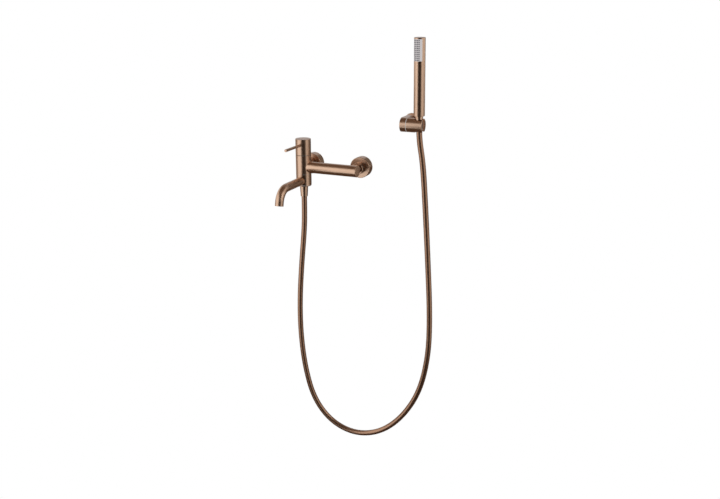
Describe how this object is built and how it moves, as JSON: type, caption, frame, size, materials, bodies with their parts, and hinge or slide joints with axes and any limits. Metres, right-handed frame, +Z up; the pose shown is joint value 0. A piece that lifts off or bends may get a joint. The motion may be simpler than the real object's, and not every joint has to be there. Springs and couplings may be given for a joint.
{
  "type": "bath shower mixer",
  "caption": "Wall-mounted single-lever bath mixer in brushed bronze, with a swivelling spout, a slim hand shower, its hose and a tilting wall holder.",
  "frame": {"origin": "centre of the left inlet union's tail at the wall plane", "axes": "X along the wall to the right as seen from the room, Y into the wall, Z up"},
  "size_m": [0.4145, 0.262, 1.1787],
  "materials": {
    "bronze_finish": "brushed",
    "raw_brass": "satin",
    "steel": "satin",
    "ceramic": "polished",
    "white_plastic": "matte",
    "grey_plastic": "matte",
    "nozzle_rubber": "matte",
    "black_rubber": "matte",
    "hose_cover": "satin"
  },
  "bodies": {
    "mixer": {"union_left": "raw_brass", "union_right": "raw_brass", "union_nut_left": "bronze_finish", "union_nut_right": "bronze_finish", "inlet_seals": "black_rubber", "inlet_check_valve_left": "white_plastic", "inlet_check_valve_right": "white_plastic", "rosette_left": "bronze_finish", "rosette_right": "bronze_finish", "mixer_body": "bronze_finish", "bar_end_plug": "bronze_finish", "bar_plug_ring": "black_rubber", "cartridge_base": "white_plastic", "cartridge_port_seals": "black_rubber", "fixed_disc": "ceramic", "cartridge_housing": "white_plastic", "cartridge_nut": "raw_brass", "spout_slide_rings": "white_plastic", "spout_o_rings": "black_rubber", "shower_outlet": "bronze_finish", "outlet_check_valve": "white_plastic", "lower_hose_nut": "bronze_finish", "lower_hose_washer": "black_rubber", "lower_hose_tail": "raw_brass", "shower_hose": "hose_cover", "holder_friction_ring": "grey_plastic", "holder_pivot_screw": "steel", "bracket_block": "bronze_finish", "bracket_wall_plate": "bronze_finish", "bracket_wall_screws": "steel", "bracket_grub_screw": "steel"},
    "guide": {"cartridge_guide": "white_plastic", "stem_pin": "steel"},
    "disc": {"disc_carrier": "white_plastic", "moving_disc": "ceramic"},
    "handle": {"cartridge_stem": "steel", "handle_cap": "bronze_finish", "lever_rod": "bronze_finish", "handle_grub_screw": "steel", "handle_screw_plug": "bronze_finish"},
    "spout": {"spout_collar": "bronze_finish", "diverter_sleeve": "white_plastic", "spout_tube": "bronze_finish", "aerator_housing": "bronze_finish", "aerator_insert": "grey_plastic", "aerator_seal": "black_rubber"},
    "holder": {"holder_barrel": "bronze_finish", "holder_liner": "grey_plastic", "pivot_spring_washer": "steel"},
    "handset": {"handset_tube": "bronze_finish", "handset_core": "white_plastic", "handset_connector": "raw_brass", "handset_o_ring": "black_rubber", "flow_restrictor": "white_plastic", "handset_end_cap": "bronze_finish", "spray_face": "nozzle_rubber", "upper_hose_nut": "bronze_finish", "upper_hose_washer": "black_rubber", "upper_hose_tail": "raw_brass"}
  },
  "joints": [
    {"name": "lever_turn", "type": "hinge", "parent": "mixer", "child": "guide", "pos_m": [0, -0.072, 0.0554], "axis": [0, 0, 1], "range_deg": [-50, 50]},
    {"name": "lever_lift", "type": "hinge", "parent": "guide", "child": "handle", "pos_m": [0, -0.072, 0.0554], "axis": [-1, 0, 0], "range_deg": [0, 20]},
    {"name": "disc_slide", "type": "slide", "parent": "guide", "child": "disc", "axis": [0, -1, 0], "range_m": [0, 0.0046]},
    {"name": "spout_swivel", "type": "hinge", "parent": "mixer", "child": "spout", "pos_m": [0, -0.072, -0.0294], "axis": [0, 0, 1], "range_deg": [-90, 90]},
    {"name": "holder_tilt", "type": "hinge", "parent": "mixer", "child": "holder", "pos_m": [0.3346, -0.0592, 0.1429], "axis": [1, 0, 0], "range_deg": [-10, 25], "deforming": ["shower_hose"]},
    {"name": "handset_spin", "type": "hinge", "parent": "holder", "child": "handset", "pos_m": [0.3346, -0.0592, 0.1429], "axis": [0, -0.0436, 0.999], "range_deg": [-180, 180]}
  ],
  "couplings": [
    {"joint": "disc_slide", "follows": "lever_lift", "m_per_rad": 0.013}
  ]
}
